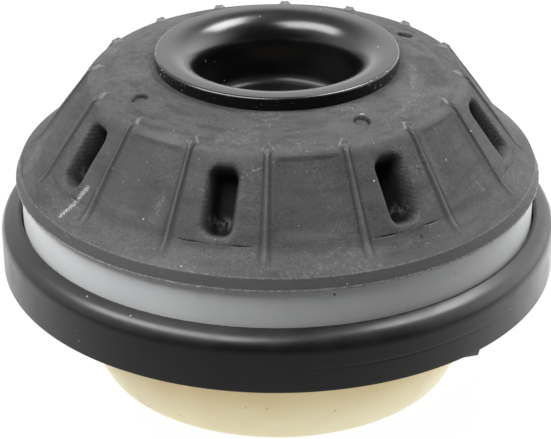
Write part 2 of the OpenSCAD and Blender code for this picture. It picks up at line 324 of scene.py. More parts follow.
rubberScuffs = [  # the same for dusty scuffs
    dict(Start=(31.0, -29.5, 83.8), End=(34.7, -19.8, 84.3), Width=1.8, Ragged=2.4),
    dict(Start=(34.7, -19.8, 84.3), End=(35.5, -3.0, 85.1), Width=1.5, Ragged=2.4),
    dict(Start=(-64.7, -11.7, 61.0), End=(-62.3, -3.0, 64.1), Width=3.0, Ragged=2.4),
    dict(Start=(-30.1, -61.1, 59.4), End=(-20.0, -65.2, 59.2), Width=1.3, Ragged=2.4),
    dict(Start=(-29.8, -52.6, 66.8), End=(-28.4, -50.4, 70.5), Width=1.8, Ragged=2.6),
    dict(Start=(49.6, -33.3, 67.8), End=(51.7, -34.2, 64.5), Width=1.2, Ragged=2.6),
    dict(Start=(-44.6, -14.0, 82.8), End=(-45.8, -19.0, 82.2), Width=1.3, Ragged=2.4),
]
rubberDark = [  # one wide smudge
    dict(Start=(38.9, 2.4, 84.5), End=(41.0, -10.0, 83.8), Width=3.6, Ragged=2.4),
]


# strongest of several strokes
def allStrokes(tree, coord, marks):
    mask = 0.0
    for mark in marks:
        mask = calc(tree, "MAXIMUM", use(tree, stroke, coord, **mark)[0], mask)
    return mask


def rubberFinish():
    look = rubberLook
    finish, tree, shader, coord = startFinish("coneRubber", Specular_IOR_Level=0.25)
    place = use(tree, polar, coord)
    blotch = use(tree, clouds, coord, Scale=70, Low=0.35, High=0.68)[0]
    fleck = use(tree, clouds, coord, Scale=700, Low=0.4, High=0.7, Detail=5)[0]
    fine = use(tree, clouds, coord, Scale=1900, Low=0.36, High=0.64, Detail=2)[0]
    normal = put(tree, "ShaderNodeNewGeometry").outputs["Normal"]
    upward = fade(tree, put(tree, "ShaderNodeSeparateXYZ", None, {0: normal}).outputs[2], 0.3, 1.0)

    # bare rubber under a grey bloom, most of it on top
    body = blendColor(tree, between(tree, blotch, 0.0, 0.8), look["deep"], look["face"])
    cover = times(tree, upward, between(tree, blotch, 0.3, 0.7))
    body = blendColor(tree, calc(tree, "ADD", cover, times(tree, fine, 0.9)), body, look["bloom"])

    # dark smears, then drifts of dust
    drawn = {i: times(tree, place[part], stretch) for i, (part, stretch) in enumerate(look["smear"].items())}
    smear = put(tree, "ShaderNodeCombineXYZ", None, drawn).outputs[0]
    smudge = use(tree, clouds, smear, Scale=1.0, Low=0.44, High=0.68, Detail=7)[0]
    smudge = calc(tree, "MAXIMUM", smudge, allStrokes(tree, coord, rubberDark))
    body = blendColor(tree, times(tree, smudge, between(tree, upward, 0.3, 0.6)), body, look["smudge"])
    drift = use(tree, clouds, coord, Scale=55, Low=0.44, High=0.66, Detail=6)[0]
    drift = times(tree, drift, between(tree, upward, 0.5, 0.85))
    drift = calc(tree, "MAXIMUM", drift, allStrokes(tree, coord, rubberScuffs))
    drift = times(tree, drift, between(tree, times(tree, fleck, fine), 0.1, 1.0))
    body = blendColor(tree, drift, body, look["dust"])

    # shoulder band, rubbed and with a painted highlight; painted shade in the grooves beside the ribs; paler
    # lip; painted highlights on the crease and lip edge, and on the partly worn rib ridges
    wearAndSheen = times(tree, meshMask(tree, "wearAndSheen"), between(tree, blotch, 0.25, 0.75))
    body = blendColor(tree, wearAndSheen, body, look["lip"])
    # painted shade in the grooves beside the ribs
    body = blendColor(tree, times(tree, meshMask(tree, "groove"), 0.85), body, look["smudge"])
    onBrim = fade(tree, place["Radius"], *look["brimR"])
    onLip = times(tree, fade(tree, place["Height"], *look["lipTop"]), onBrim)
    body = blendColor(tree, times(tree, onLip, between(tree, fine, 0.7, 0.95)), body, look["lip"])
    # painted highlights along the brim's crease and the lip's ragged lower edge
    offCrease = calc(tree, "ABSOLUTE", calc(tree, "SUBTRACT", place["Height"], look["creaseZ"]))
    creaseHighlight = times(tree, fade(tree, offCrease, *look["creaseW"]), onBrim)
    pale = fade(tree, place["Height"], *look["lipEdgeHighlight"])
    pale = calc(tree, "MAXIMUM", pale, times(tree, creaseHighlight, 0.2))
    pale = times(tree, pale, between(tree, fine, 0.25, 0.9))
    # rib ridges and nib rings: partly wear, partly a painted highlight
    pale = calc(tree, "MAXIMUM", pale, times(tree, meshMask(tree, "ridge"), 0.4))
    body = blendColor(tree, pale, body, look["edge"])

    # single marks, crumbs, specks and pits
    marks = times(tree, allStrokes(tree, coord, rubberMarks), between(tree, fine, 0.35, 0.9))
    body = blendColor(tree, marks, body, look["speck"])
    body = blendColor(tree, times(tree, allStrokes(tree, coord, rubberScars), 0.7), body, look["pit"])
    dots = use(tree, specks, coord, Scale=430, Size=0.085, Share=0.1)[0]
    small = times(tree, use(tree, specks, coord, Scale=1000, Size=0.15, Share=0.2)[0], 0.3)
    body = blendColor(tree, calc(tree, "MAXIMUM", dots, small), body, look["speck"])
    pits = use(tree, specks, coord, Scale=260, Size=0.1, Share=0.08)[0]
    body = blendColor(tree, times(tree, pits, 0.8), body, look["pit"])

    # painted shade in the pockets and on the dimple walls, with silt near the pockets' lower ends
    hollow = meshMask(tree, "hollow")
    inside = blendColor(tree, times(tree, meshMask(tree, "silt"), fleck), look["paintedPocketShade"], look["dust"])
    tree.links.new(blendColor(tree, hollow, body, inside), shader.inputs["Base Color"])
    rough = between(tree, fleck, *look["rough"])
    rough = calc(tree, "MAXIMUM", rough, times(tree, hollow, look["hollowRough"]))
    tree.links.new(rough, shader.inputs["Roughness"])
    crimp = put(tree, "ShaderNodeTexWave", {"bands_direction": "Z"},
                {"Vector": coord, "Scale": 300.0, "Distortion": 2.5, "Detail": 2.0, "Detail Scale": 1.5})
    crimped = times(tree, times(tree, crimp.outputs["Fac"], meshMask(tree, "lips")), 0.6)
    relief = calc(tree, "ADD", use(tree, grain, coord, Scale=1900)[0], crimped)
    setBump(tree, shader, relief, 0.5, 0.12)
    return finish


# glossy black enamel with chipped flecks along the rim's edge
enamelLook = dict(
    black=grey(0.002), film=grey(0.006), chip=grey(0.4), rough=(0.2, 0.3), deepRough=0.25,
    gloss=(0.86, 0.05), deepGloss=0.3,
    deep=(6.0, 14.0), outside=(0.2, 0.05), edge=(31.2, 31.9),  # depth below the rim, inset and radius, in mm
    flecksAt=(-0.455, -0.06), fleckTurn=(0.1, 0.03), stretch=0.45,  # places of the most chips, in turns
)


def enamelFinish():
    look = enamelLook
    finish, tree, shader, coord = startFinish("cupEnamel", Specular_IOR_Level=0.2, Coat_IOR=1.6,
                                              Coat_Roughness=0.25)
    haze = use(tree, clouds, coord, Scale=90, Low=0.3, High=0.75)[0]
    film = blendColor(tree, haze, look["black"], look["film"])
    place = use(tree, polar, coord)
    onEdge = fade(tree, place["Radius"], *look["edge"])
    off = [calc(tree, "SUBTRACT", place["Turn"], turn) for turn in look["flecksAt"]]
    near = [calc(tree, "ABSOLUTE", turn) for turn in off]
    ends = fade(tree, calc(tree, "MINIMUM", *near), *look["fleckTurn"])
    worn = times(tree, onEdge, between(tree, ends, 0.06, 1.0))
    along = times(tree, place["Turn"], 2 * math.pi * rimR * look["stretch"])
    strip = put(tree, "ShaderNodeCombineXYZ", None, {0: along, 1: place["Height"], 2: place["Radius"]})
    chips = times(tree, worn, use(tree, specks, strip.outputs[0], Scale=1.8, Size=0.28, Share=0.4)[0])
    dots = use(tree, specks, coord, Scale=420, Size=0.085, Share=0.08)[0]
    flecks = calc(tree, "MAXIMUM", chips, dots)
    tree.links.new(blendColor(tree, flecks, film, look["chip"]), shader.inputs["Base Color"])
    outside = fade(tree, place["Radius"], *(rimR - inset for inset in look["outside"]))
    below = fade(tree, calc(tree, "SUBTRACT", rimTop, place["Height"]), *look["deep"])
    gloss = between(tree, outside, *look["gloss"])
    gloss = times(tree, gloss, between(tree, below, 1.0, look["deepGloss"]))
    tree.links.new(gloss, shader.inputs["Coat Weight"])
    dull = times(tree, below, look["deepRough"])
    tree.links.new(calc(tree, "ADD", between(tree, haze, *look["rough"]), dull), shader.inputs["Roughness"])
    setBump(tree, shader, use(tree, grain, coord, Scale=260)[0], 0.1, 0.03)
    return finish


# light grey moulded cap
capLook = dict(pale=grey(0.8, -0.012), dull=grey(0.75, -0.012), mark=grey(0.12), rough=(0.36, 0.5))


def capFinish():
    look = capLook
    finish, tree, shader, coord = startFinish("capGrey", Specular_IOR_Level=0.4)
    blotch = use(tree, clouds, coord, Scale=45, Low=0.3, High=0.7)[0]
    body = blendColor(tree, blotch, look["dull"], look["pale"])
    dots = use(tree, specks, coord, Scale=300, Size=0.1, Share=0.12)[0]
    tree.links.new(blendColor(tree, dots, body, look["mark"]), shader.inputs["Base Color"])
    tree.links.new(between(tree, blotch, *look["rough"]), shader.inputs["Roughness"])
    setBump(tree, shader, use(tree, grain, coord, Scale=500)[0], 0.1, 0.05)
    return finish


# satin black ring with dust and faintly worn patches
seatLook = dict(black=grey(0.003), worn=grey(0.007), dust=grey(0.3), rough=(0.36, 0.46), coat=0.18,
                dull=0.95, dullUp=(0.9, 0.1), dullIn=(1.2, 0.4))  # the lower outer edge is dull


def seatFinish():
    look = seatLook
    finish, tree, shader, coord = startFinish("seatBlack", Specular_IOR_Level=0.56, Coat_Roughness=0.2)
    place = use(tree, polar, coord)
    low = fade(tree, place["Height"], *(seatLow + up for up in look["dullUp"]))
    out = fade(tree, place["Radius"], *(seatR - inset for inset in look["dullIn"]))
    dullEdge = times(tree, low, out)
    tree.links.new(between(tree, dullEdge, look["coat"], 0.0), shader.inputs["Coat Weight"])
    blotch = use(tree, clouds, coord, Scale=120, Low=0.35, High=0.75)[0]
    body = blendColor(tree, blotch, look["black"], look["worn"])
    dots = use(tree, specks, coord, Scale=360, Size=0.1, Share=0.14)[0]
    tree.links.new(blendColor(tree, dots, body, look["dust"]), shader.inputs["Base Color"])
    rough = between(tree, blotch, *look["rough"])
    rough = calc(tree, "MAXIMUM", rough, times(tree, dullEdge, look["dull"]))
    tree.links.new(rough, shader.inputs["Roughness"])
    setBump(tree, shader, use(tree, grain, coord, Scale=800)[0], 0.12, 0.05)
    return finish


# ivory moulded spigot that lets a little light through; paler towards the bottom with painted light from the
# floor
ivoryLook = dict(warm=(0.71, 0.545, 0.25, 1.0), pale=(0.88, 0.82, 0.56, 1.0), speck=(0.4, 0.27, 0.12, 1.0),
                 floorLightZ=(22.0, 2.0), rough=(0.36, 0.5), glowRadius=(1.0, 0.7, 0.35))


def ivoryFinish():
    look = ivoryLook
    finish, tree, shader, coord = startFinish("spigotIvory", Specular_IOR_Level=0.4, Subsurface_Weight=0.2,
                                              Subsurface_Scale=0.003)
    shader.inputs["Subsurface Radius"].default_value = look["glowRadius"]
    blotch = use(tree, clouds, coord, Scale=50, Low=0.3, High=0.7)[0]
    place = use(tree, polar, coord)
    # paler towards the bottom: painted light from the floor below
    low = fade(tree, place["Height"], *look["floorLightZ"])
    toneAndFloorLight = calc(tree, "ADD", times(tree, blotch, 0.25), times(tree, low, 0.75))
    body = blendColor(tree, toneAndFloorLight, look["warm"], look["pale"])
    dots = use(tree, specks, coord, Scale=350, Size=0.1, Share=0.12)[0]
    tree.links.new(blendColor(tree, dots, body, look["speck"]), shader.inputs["Base Color"])
    tree.links.new(between(tree, blotch, *look["rough"]), shader.inputs["Roughness"])
    setBump(tree, shader, use(tree, grain, coord, Scale=420)[0], 0.1, 0.05)
    return finish


# ground bearing steel with turning marks round the axis
def raceFinish():
    finish, tree, shader, coord = startFinish("raceSteel", Metallic=1.0)
    place = use(tree, polar, coord)
    lines = put(tree, "ShaderNodeTexNoise", {"noise_dimensions": "1D"}, {"W": place["Radius"], "Scale": 9.0})
    tree.links.new(blendColor(tree, lines.outputs[0], grey(0.38), grey(0.6)), shader.inputs["Base Color"])
    tree.links.new(between(tree, lines.outputs[0], 0.2, 0.4), shader.inputs["Roughness"])
    return finish


# polished balls with a film of grease
def ballFinish():
    finish, tree, shader, coord = startFinish("ballSteel", Metallic=1.0)
    film = use(tree, clouds, coord, Scale=400, Low=0.35, High=0.7)[0]
    tree.links.new(blendColor(tree, film, grey(0.62), grey(0.5, 0.08)), shader.inputs["Base Color"])
    tree.links.new(between(tree, film, 0.06, 0.2), shader.inputs["Roughness"])
    return finish


# plain moulded pieces inside the bearing
def insideFinish(name, low, high, rough):
    finish, tree, shader, coord = startFinish(name)
    blotch = use(tree, clouds, coord, Scale=150, Low=0.3, High=0.7)[0]
    tree.links.new(blendColor(tree, blotch, low, high), shader.inputs["Base Color"])
    tree.links.new(between(tree, blotch, rough, rough + 0.15), shader.inputs["Roughness"])
    setBump(tree, shader, use(tree, grain, coord, Scale=700)[0], 0.1, 0.05)
    return finish


rubber, enamel = rubberFinish(), enamelFinish()
capGrey, seatBlack, ivory = capFinish(), seatFinish(), ivoryFinish()
steel, polished = raceFinish(), ballFinish()
nylon = insideFinish("cageNylon", grey(0.6, 0.05), grey(0.72, 0.05), 0.4)
sealBlack = insideFinish("sealRubber", grey(0.015), grey(0.03), 0.5)
print("finishes ready")


# pressed steel cup: flat rim, bent lip, straight wall, floor with the rod hole
cup = dict(sheet=3.5, wallR=21.2, rimBend=4.25, floorBend=3.0, rodR=8.1, rimEdge=0.8, holeEdge=0.4)
rimUnder = rimTop - cup["sheet"]
wallOut = cup["wallR"] + cup["sheet"]


def buildCup():
    floorTop = cupLow + cup["sheet"]
    corners = [
        (cup["rodR"], cupLow, cup["holeEdge"]),
        (wallOut, cupLow, cup["floorBend"] + cup["sheet"]),
        (wallOut, rimUnder, cup["rimBend"]),
        (rimR, rimUnder, cup["rimEdge"]),
        (rimR, rimTop, cup["rimEdge"]),
        (cup["wallR"], rimTop, cup["rimBend"] + cup["sheet"]),
        (cup["wallR"], floorTop, cup["floorBend"]),
        (cup["rodR"], floorTop, cup["holeEdge"]),
    ]
    outline = resample(roundOutline(corners, 12), lambda r, z: 2.0)
    mesh = ringMesh("cupShell", outline, evenAngles())
    addPiece("cupShell", mesh, enamel, "mount", "cup_enamel", "steel_cup")


buildCup()


# elastomer cone, in mm and degrees: its section, then the spacing of its mesh
cone = dict(faceW=14.4, faceH=19.5, brimW=5.4, brimH=4.4, lipH=3.3, lipFlare=1.4, rimMargin=1.5, rimRound=2.0,
            shoulderRound=4.0, footRound=9.0, creaseRound=0.9, lipEdge=0.35, wallTop=55.4, boreR=47.2,
            plugR=65.2, roofZ=61.2, roofRound=1.0, cupEnd=73.5, sharp=60)
skinSteps = dict(midR=57.0, byRib=((0.9, 0.22), (1.8, 0.36), (2.8, 0.6)), pocketHalf=5.4, pocket=0.44,
                 plain=1.4, hidden=6.0, top=1.2, face=0.6, edge=0.4, dimpleHalf=2.6, shoulderHalf=2.4,
                 shoulderIn=0.8, shoulderFall=1.5, line=0.2, lineZ=(63.1, 64.5))


# section of the cone, with the radius and height of its shoulder
def coneSection():
    lipR, plugZ, topZ = nodeSpan("rubber_cone")
    creaseR, creaseZ = lipR - cone["lipFlare"], cone["wallTop"] + cone["lipH"]
    footR, footZ = creaseR - cone["brimW"], creaseZ + cone["brimH"]
    shoulderR, shoulderZ = footR - cone["faceW"], footZ + cone["faceH"]
    corners = [
        (cone["boreR"], plugZ, 0.0),
        (cone["plugR"], plugZ, 0.0),
        (cone["plugR"], cone["wallTop"], 0.0),
        (lipR, cone["wallTop"], cone["lipEdge"]),
        (creaseR, creaseZ, cone["creaseRound"]),
        (footR, footZ, cone["footRound"]),
        (shoulderR, shoulderZ, cone["shoulderRound"]),
        (rimR + cone["rimMargin"], topZ, cone["rimRound"]),
        (wallOut, topZ, cup["rimBend"]),
        (wallOut, cone["cupEnd"], 0.0),
        (cone["boreR"], cone["roofZ"], cone["roofRound"]),
    ]

    # under the rim, in the cap or inside the cone
    def hidden(r, z):
        return z < cone["wallTop"] + 1 or r < rimR or (r < cone["boreR"] + 1 and z < cone["cupEnd"] + 1)

    # fine at the shoulder, the dimples and the mould lines, coarse where nothing shows
    def spacing(r, z):
        if hidden(r, z):
            return skinSteps["hidden"]
        atShoulder = abs(r - shoulderR + skinSteps["shoulderIn"]) < skinSteps["shoulderHalf"]
        if atShoulder and z > shoulderZ - skinSteps["shoulderFall"]:
            return skinSteps["edge"]
        if r < shoulderR - skinSteps["shoulderFall"]:
            atDimple = abs(r - dimple["radius"]) < skinSteps["dimpleHalf"]
            return skinSteps["edge"] if atDimple else skinSteps["top"]
        low, high = skinSteps["lineZ"]
        return skinSteps["line"] if low < z < high else skinSteps["face"]

    outline = roundOutline(corners)
    outline = resample(outline, lambda r, z: skinSteps["hidden"] if hidden(r, z) else skinSteps["top"])
    return resample(outline, spacing), shoulderR, shoulderZ


# angles with more samples beside ribs and over pockets
def coneAngles(sector, pocketSector):
    width = sector * skinSteps["midR"]  # arc length at the middle of the face
    places, x = [], 0.0
    while x < width:
        places.append(x)
        fromRib = min(x, width - x)
        inPocket = pocketSector and abs(x - width / 2) < skinSteps["pocketHalf"]
        besideRib = [step for reach, step in skinSteps["byRib"] if fromRib < reach]
        away = skinSteps["pocket"] if inPocket else skinSteps["plain"]
        x += besideRib[0] if besideRib else away
    return np.array(places) / x * sector


# ribs that widen towards the brim, a groove along each side and a nib at the head
ribs = dict(count=16, azimuth=19.7, top=0.5, foot=0.9, rise=0.6, fall=0.5, fallFrom=0.4, onBrim=4.7,
            above=1.6, runOut=3.6, past=0.2, valley=0.42, valleyAt=1.4, valleyW=0.45, shine=0.2, shineW=0.5)
nib = dict(half=1.7, reach=2.3, above=0.7, rise=0.75, flank=(0.5, 1.05), ridge=0.2, ridgeAt=0.62, ridgeW=0.16,
           eye=0.4, eyeW=0.26, paleAt=0.78, paleW=0.13)


# height of ribs and nibs, with masks of their pale ridges, worn and with a painted highlight, and of the
# painted shade in their grooves
def ribShape(down, beside):
    ribEnd = math.hypot(cone["faceW"], cone["faceH"]) + ribs["onBrim"]
    half = ribs["top"] + (ribs["foot"] - ribs["top"]) * np.clip(down / ribEnd, 0, 1)
    rib = np.hypot(beside, np.maximum(down - ribEnd + half, 0)) / half  # 0 on a rib's crest, 1 at its foot
    onRib = smooth(-ribs["above"], 0.0, down)
    onRib = onRib * (1 - smooth(ribEnd - ribs["runOut"], ribEnd + ribs["past"], down))  # soft at both ends
    loss = ribs["fall"] * smooth(ribs["fallFrom"], 1.0, down / ribEnd)  # lower towards the brim
    groove = hump(rib, ribs["valleyAt"], ribs["valleyW"]) * onRib
    lift = ribs["rise"] * (1 - loss) * np.clip(1 - rib ** 2, 0, 1) * onRib - ribs["valley"] * groove
    spot = beside / nib["half"] + np.abs(down + nib["above"]) / nib["reach"]
    dome = nib["rise"] * (1 - smooth(*nib["flank"], spot))
    dome = dome + nib["ridge"] * hump(spot, nib["ridgeAt"], nib["ridgeW"])
    lift = np.maximum(lift, dome) - nib["eye"] * hump(spot, 0.0, nib["eyeW"])
    # pale crest of each rib: wear and a painted highlight
    crest = ribs["shine"] * hump(rib, 0.0, ribs["shineW"]) * onRib
    ridge = np.maximum(crest, hump(spot, nib["paleAt"], nib["paleW"]))
    return lift, ridge, groove


# panels without a pocket lie a little deeper
panel = dict(depth=0.3, top=1.5, bottom=22.0, beside=2.0, step=0.7, fold=3.0)


def panelShape(down, aside, halfPanel):
    inPanel = 1 - smooth(-panel["step"], 0.0, aside - halfPanel + panel["beside"])
    inPanel = inPanel * smooth(panel["top"], panel["top"] + panel["step"], down)
    inPanel = inPanel * (1 - smooth(panel["bottom"] - panel["fold"], panel["bottom"], down))
    return -panel["depth"] * inPanel


# pockets with rolled lips, and silt near their lower ends
# dark is where the painted shade fades in over a pocket's hollow
pocket = dict(drop=13.0, halfWidth=2.5, halfLength=7.2, corner=1.4, depth=7.0, rollOut=1.9, rollIn=1.0,
              bead=0.1, beadAt=3.2, beadW=0.8, dark=(0.15, 0.65), lipsAt=1.4, lipsW=1.3,
              siltAt=4.2, siltW=1.3, siltHalf=9.0)


# height over the pockets, with masks of their hollows, lips and silt
def pocketShape(down, slot):
    along = down - pocket["drop"]
    acrossCorner = slot - pocket["halfWidth"] + pocket["corner"]
    alongCorner = np.abs(along) - pocket["halfLength"] + pocket["corner"]
    edge = np.hypot(np.maximum(acrossCorner, 0), np.maximum(alongCorner, 0)) - pocket["corner"]
    edge = edge + np.minimum(np.maximum(acrossCorner, alongCorner), 0)
    hollow = 1 - smooth(-pocket["rollIn"], pocket["rollOut"], edge)
    lift = pocket["bead"] * hump(edge, pocket["beadAt"], pocket["beadW"]) - pocket["depth"] * hollow
    lips = hump(edge, pocket["lipsAt"], pocket["lipsW"])
    silt = hump(along, pocket["siltAt"], pocket["siltW"]) * (slot < pocket["siltHalf"])
    return lift, hollow, lips, silt


# raised pad round each pocket, with a short mould line on each side below it
pad = dict(down=23.3, inner=3.9, outer=9.2, depth=0.26, width=0.16, raised=0.05, top=(0.5, 2.5),
           end=(-0.3, 0.1), side=0.6, lineEnd=1.2)


def padShape(down, slot):
    onPad = 1 - smooth(pad["outer"] - pad["side"], pad["outer"], slot)
    inLine = onPad * smooth(pad["inner"], pad["inner"] + pad["lineEnd"], slot)
    onPad = onPad * smooth(*pad["top"], down) * (1 - smooth(*pad["end"], down - pad["down"]))
    return pad["raised"] * onPad - pad["depth"] * inLine * hump(down, pad["down"], pad["width"])


# four round dimples on top
dimple = dict(radius=40.5, half=2.15, depth=0.95, wall=0.3, steepW=0.34)


# depth of the dimples, with a mask of their steep walls, which get painted shade
def dimpleShape(away, onTop):
    wallIn = dimple["half"] - dimple["wall"]
    lift = -dimple["depth"] * (1 - smooth(wallIn, dimple["half"], away)) * onTop
    return lift, hump(away, wallIn, dimple["steepW"]) * onTop


# slow waves over the skin and a ragged lip edge
flash = dict(seed=7, slow=9, wavy=0.05, first=40, waves=104, ragged=0.1, reach=0.6)


# sum of sine waves round the axis, with set phases
def ripple(angles, seed, waves, first=3):
    draw = np.random.default_rng(seed)
    total = np.zeros_like(angles)
    for k in range(first, first + waves):
        total += np.sin(k * angles + draw.uniform(0, 2 * math.pi)) * draw.uniform(0.3, 1.0)
    return total / math.sqrt(waves)


shoulderWearAndSheen = dict(at=0.8, width=1.5)  # pale band along the shoulder: wear and a painted highlight


def buildCone():
    outline, shoulderR, shoulderZ = coneSection()
    radius, height = outline[:, :1], outline[:, 1:]
    steps = np.linalg.norm(np.diff(outline, axis=0, append=outline[:1]), axis=1)
    travel = np.cumsum(steps) - steps
    shoulderAt = travel[np.argmin(np.hypot(radius - shoulderR, height - shoulderZ))]
    down = (shoulderAt - travel)[:, None]  # distance below the shoulder, along the skin
    outer = (radius > rimR) & (height > cone["wallTop"] + 0.2)

    sector = 2 * math.pi / ribs["count"]
    pair = np.concatenate([coneAngles(sector, True), sector + coneAngles(sector, False)])
    turns = np.concatenate([pair + 2 * sector * k for k in range(ribs["count"] // 2)])
    angles = turns + math.radians(ribs["azimuth"])

    # side distance to the nearest line of a pattern with a first angle and a pitch
    def sideTo(first, pitch):
        return radius * ((turns - first + pitch / 2) % pitch - pitch / 2)[None, :]

    lift, ridge, groove = ribShape(down, np.abs(sideTo(0.0, sector)))
    lift = lift + panelShape(down, np.abs(sideTo(1.5 * sector, 2 * sector)), radius * sector / 2)
    slot = np.abs(sideTo(sector / 2, 2 * sector))
    pocketLift, hollow, lips, silt = pocketShape(down, slot)
    away = np.hypot(radius - dimple["radius"], sideTo(sector / 2, 4 * sector))
    dimpleLift, steep = dimpleShape(away, down < 0)
    lift = lift + pocketLift + padShape(down, slot) + dimpleLift

    wave = ripple(angles, flash["seed"], flash["slow"])[None, :]
    fringe = ripple(angles, flash["seed"] + 1, flash["waves"], flash["first"])[None, :]
    lipEdge = hump(height, cone["wallTop"], flash["reach"]) * (radius > cone["plugR"])
    lift = np.where(outer, lift + flash["wavy"] * wave, 0.0) + flash["ragged"] * fringe * lipEdge
    mesh = ringMesh("rubberSkin", outline, angles, lift, cone["sharp"])

    # painted shade over the pockets and the dimple walls, kept as the hollow mask
    dark = np.maximum(smooth(*pocket["dark"], hollow), steep)
    # pale shoulder band, partly wear and partly a painted highlight
    wearAndSheen = hump(down, shoulderWearAndSheen["at"], shoulderWearAndSheen["width"]) * (1 - hollow)
    masks = dict(hollow=dark, silt=silt, lips=lips, ridge=ridge, groove=groove, wearAndSheen=wearAndSheen)
    for name, mask in masks.items():
        shown = np.where(outer, mask, 0.0).astype(np.float32)
        mesh.attributes.new(name, "FLOAT", "POINT").data.foreach_set("value", shown.ravel())
    addPiece("rubberSkin", mesh, rubber, "mount", "cone_rubber", "rubber_cone")


buildCone()


# light grey cap that carries the cone and covers the bearing
cap = dict(skirt=1.5, rimT=3.0, plateT=3.3, rimTopZ=55.4, plateZ=48.2, collarInR=44.0, collarT=3.0,
           innerSkirtR=55.3, innerSkirtT=2.5, edge=0.3)


def buildCap():
    capR, skirtZ, collarZ = nodeSpan("upper_cap")
    e = cap["edge"]
    plugZ = cap["plateZ"] + cap["plateT"]
    innerR = cap["innerSkirtR"] - cap["innerSkirtT"]
    collarR = cap["collarInR"] + cap["collarT"]
    corners = [
        (cap["collarInR"], cap["plateZ"], e),
        (innerR, cap["plateZ"], e),
        (innerR, skirtZ, e),
        (cap["innerSkirtR"], skirtZ, e),
        (cap["innerSkirtR"], cap["plateZ"], e),
        (capR - cap["skirt"], cap["plateZ"], e),
        (capR - cap["skirt"], skirtZ, e),
        (capR, skirtZ, e),
        (capR, cap["rimTopZ"], e),
        (capR - cap["rimT"], cap["rimTopZ"], e),
        (capR - cap["rimT"], plugZ, e),
        (collarR, plugZ, e),
        (collarR, collarZ, e),
        (cap["collarInR"], collarZ, e),
    ]
    outline = resample(roundOutline(corners, 3), lambda r, z: 3.0)
    mesh = ringMesh("capRing", outline, evenAngles())
    addPiece("capRing", mesh, capGrey, "mount", "cap_grey", "upper_cap")


buildCap()


# black spring seat ring with a round crest, a faint parting line and the coil's end stop
seat = dict(height=16.0, floorT=5.9, flangeT=4.0, wallT=4.5, crestW=5.5, flangeW=6.5, crestFall=2.4,
            crestRound=4.6, crestInner=0.8, lowEdge=0.7, footEdge=0.3, innerEdge=0.2)
parting = dict(z=36.8, depth=0.1, width=0.18, azimuth=298, spread=22, inset=0.5, reach=1.2)  # a short stretch
stop = dict(azimuth=317, length=15.0, width=4.5, depth=4.3, slant=2.0, root=1.0, edge=0.35)
spigotR = seatR - seat["wallT"] - seat["flangeW"]


def buildSeat():
    lipR, apexZ = seatR - seat["crestW"], seatLow + seat["height"]
    flangeR = seatR - seat["wallT"]
    flangeZ = seatLow + seat["floorT"]
    raceZ = flangeZ + seat["flangeT"]
    corners = [
        (spigotR, seatLow, seat["footEdge"]),
        (seatR, seatLow, seat["lowEdge"]),
        (seatR, apexZ - seat["crestFall"], seat["crestRound"]),
        (lipR, apexZ, seat["crestInner"]),
        (lipR, raceZ, seat["innerEdge"]),
        (flangeR, raceZ, seat["innerEdge"]),
        (flangeR, flangeZ, seat["innerEdge"]),
        (spigotR, flangeZ, seat["innerEdge"]),
    ]

    # fine beside the parting line
    def spacing(r, z):
        return 0.25 if abs(z - parting["z"]) < parting["reach"] and r > seatR - parting["inset"] else 1.2

    outline = resample(roundOutline(corners, 10), spacing)
    angles = evenAngles(288)
    turned = (np.degrees(angles) - parting["azimuth"] + 180) % 360 - 180
    line = hump(outline[:, 1], parting["z"], parting["width"]) * (outline[:, 0] > seatR - parting["inset"])
    lift = -parting["depth"] * line[:, None] * hump(turned, 0, parting["spread"])[None, :]
    mesh = ringMesh("seatRing", outline, angles, lift)
    addPiece("seatRing", mesh, seatBlack, "seat", "seat_black", "spring_seat")


# ramp under the spring face that ends in a slanted stop
def buildStop():
    run = stop["length"] - stop["slant"]
    rise = stop["root"] / stop["depth"]
    side = [(-stop["slant"], -stop["depth"]), (stop["slant"] * rise, stop["root"]),
            (-stop["length"] - run * rise, stop["root"])]
    inner = (spigotR + seatR - stop["width"]) / 2
    points = [(inner + w, t, seatLow + h) for w in (0, stop["width"]) for t, h in side]
    turned = Matrix.Rotation(math.radians(stop["azimuth"]), 3, "Z")
    mesh = bpy.data.meshes.new("seatEndStop")
    faces = [(0, 1, 2), (5, 4, 3), (0, 3, 4, 1), (1, 4, 5, 2), (2, 5, 3, 0)]
    mesh.from_pydata([turned @ Vector(p) * mm for p in points], [], faces)
    piece = addPiece("seatEndStop", mesh, seatBlack, "seat", "seat_black")
    bevel = piece.modifiers.new("softEdges", "BEVEL")
    bevel.width, bevel.segments = stop["edge"] * mm, 3


buildSeat()
buildStop()


# ivory lower cap: tapered spigot, flange in the seat ring, rim inside the race
lower = dict(wall=3.5, taper=14.6, endRound=2.0, rimInR=56.7, rimOutR=58.7, edge=0.3)


def buildLower():
    flangeR, low, rimZ = nodeSpan("lower_cap")
    e = lower["edge"]
    flangeZ = seatLow + seat["floorT"]
    raceZ = flangeZ + seat["flangeT"]
    endR = spigotR - lower["taper"]
    corners = [
        (endR - lower["wall"], low, e),
        (endR, low, lower["endRound"]),
        (spigotR, seatLow, e),
        (spigotR, flangeZ, e),
        (flangeR, flangeZ, e),
        (flangeR, raceZ, e),
        (lower["rimOutR"], raceZ, e),
        (lower["rimOutR"], rimZ, e),
        (lower["rimInR"], rimZ, e),
        (lower["rimInR"], flangeZ, e),
        (spigotR - lower["wall"], flangeZ, e),
        (spigotR - lower["wall"], seatLow, e),
    ]
    outline = resample(roundOutline(corners, 5), lambda r, z: 2.0)
    mesh = ringMesh("spigotShell", outline, evenAngles())
    addPiece("spigotShell", mesh, ivory, "seat", "spigot_ivory", "lower_cap")


buildLower()


